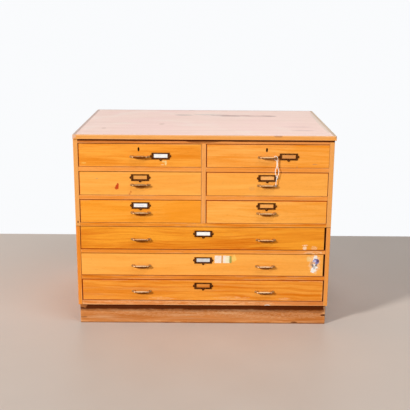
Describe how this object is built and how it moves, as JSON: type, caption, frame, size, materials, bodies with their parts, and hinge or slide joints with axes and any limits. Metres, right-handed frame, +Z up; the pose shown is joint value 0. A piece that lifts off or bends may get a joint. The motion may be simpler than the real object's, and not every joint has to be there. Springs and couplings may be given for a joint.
{
  "type": "plan chest",
  "caption": "Wooden plan chest of stacked units on a recessed plinth, with small drawers over full-width drawers, bow handles, label holders and a worn pale top.",
  "frame": {"origin": "on the floor under the middle of the chest's bounding box, handles included and the string left out", "axes": "+Z up, +X to the right as seen from the front, and the drawers open towards -Y"},
  "size_m": [1.22, 0.8976, 0.94],
  "materials": {
    "front_wood": "honey-coloured varnished boards, worn",
    "carcass_wood": "honey-coloured varnished boards, worn",
    "worn_top": "pale rubbed board",
    "lipping": "rubbed varnished strips",
    "inner_wood": "bare pale wood",
    "handle_brass": "dull aged brass",
    "holder_bronze": "dark bronzed",
    "lock_steel": "dull steel",
    "card": "matt white card",
    "string": "soft white cotton string"
  },
  "bodies": {
    "chest": {"drawer_rails": "carcass_wood", "drawer_runners": "inner_wood", "lower_back_panel": "inner_wood", "lower_floor": "carcass_wood", "lower_side_left": "carcass_wood", "lower_side_right": "carcass_wood", "plinth": "carcass_wood", "top_lipping": "lipping", "top_panel": "worn_top", "upper_back_panel": "inner_wood", "upper_divider": "carcass_wood", "upper_floor": "carcass_wood", "upper_side_left": "carcass_wood", "upper_side_right": "carcass_wood", "upper_top_rail": "carcass_wood"},
    "drawer_left_1": {"drawer_left_1_box": "inner_wood", "drawer_left_1_card": "card", "drawer_left_1_front": "front_wood", "drawer_left_1_handle": "handle_brass", "drawer_left_1_label_holder": "holder_bronze", "drawer_left_1_lock_case": "lock_steel"},
    "bolt_left_1": {"drawer_left_1_lock_bolt": "lock_steel"},
    "drawer_left_2": {"drawer_left_2_box": "inner_wood", "drawer_left_2_front": "front_wood", "drawer_left_2_handle": "handle_brass", "drawer_left_2_label_holder": "holder_bronze"},
    "drawer_left_3": {"drawer_left_3_box": "inner_wood", "drawer_left_3_card": "card", "drawer_left_3_front": "front_wood", "drawer_left_3_handle": "handle_brass", "drawer_left_3_label_holder": "holder_bronze"},
    "drawer_right_1": {"drawer_right_1_box": "inner_wood", "drawer_right_1_front": "front_wood", "drawer_right_1_handle": "handle_brass", "drawer_right_1_label_holder": "holder_bronze", "drawer_right_1_lock_case": "lock_steel", "string": "string"},
    "bolt_right_1": {"drawer_right_1_lock_bolt": "lock_steel"},
    "drawer_right_2": {"drawer_right_2_box": "inner_wood", "drawer_right_2_front": "front_wood", "drawer_right_2_handle": "handle_brass", "drawer_right_2_label_holder": "holder_bronze"},
    "drawer_right_3": {"drawer_right_3_box": "inner_wood", "drawer_right_3_front": "front_wood", "drawer_right_3_handle": "handle_brass", "drawer_right_3_label_holder": "holder_bronze"},
    "drawer_wide_1": {"drawer_wide_1_box": "inner_wood", "drawer_wide_1_card": "card", "drawer_wide_1_front": "front_wood", "drawer_wide_1_handle": "handle_brass", "drawer_wide_1_label_holder": "holder_bronze"},
    "drawer_wide_2": {"drawer_wide_2_box": "inner_wood", "drawer_wide_2_card": "card", "drawer_wide_2_front": "front_wood", "drawer_wide_2_handle": "handle_brass", "drawer_wide_2_label_holder": "holder_bronze"},
    "drawer_wide_3": {"drawer_wide_3_box": "inner_wood", "drawer_wide_3_front": "front_wood", "drawer_wide_3_handle": "handle_brass", "drawer_wide_3_label_holder": "holder_bronze"}
  },
  "joints": [
    {"name": "drawer_left_1_slide", "type": "slide", "parent": "chest", "child": "drawer_left_1", "axis": [0, -1, 0], "range_m": [0, 0.6]},
    {"name": "drawer_left_2_slide", "type": "slide", "parent": "chest", "child": "drawer_left_2", "axis": [0, -1, 0], "range_m": [0, 0.6]},
    {"name": "drawer_left_3_slide", "type": "slide", "parent": "chest", "child": "drawer_left_3", "axis": [0, -1, 0], "range_m": [0, 0.6]},
    {"name": "drawer_right_1_slide", "type": "slide", "parent": "chest", "child": "drawer_right_1", "axis": [0, -1, 0], "range_m": [0, 0.6]},
    {"name": "drawer_right_2_slide", "type": "slide", "parent": "chest", "child": "drawer_right_2", "axis": [0, -1, 0], "range_m": [0, 0.6], "deforming": ["string"]},
    {"name": "drawer_right_3_slide", "type": "slide", "parent": "chest", "child": "drawer_right_3", "axis": [0, -1, 0], "range_m": [0, 0.6]},
    {"name": "drawer_wide_1_slide", "type": "slide", "parent": "chest", "child": "drawer_wide_1", "axis": [0, -1, 0], "range_m": [0, 0.6]},
    {"name": "drawer_wide_2_slide", "type": "slide", "parent": "chest", "child": "drawer_wide_2", "axis": [0, -1, 0], "range_m": [0, 0.6]},
    {"name": "drawer_wide_3_slide", "type": "slide", "parent": "chest", "child": "drawer_wide_3", "axis": [0, -1, 0], "range_m": [0, 0.6]},
    {"name": "bolt_left_1_throw", "type": "slide", "parent": "drawer_left_1", "child": "bolt_left_1", "axis": [0, 0, 1], "range_m": [0, 0.009]},
    {"name": "bolt_right_1_throw", "type": "slide", "parent": "drawer_right_1", "child": "bolt_right_1", "axis": [0, 0, 1], "range_m": [0, 0.009]}
  ]
}
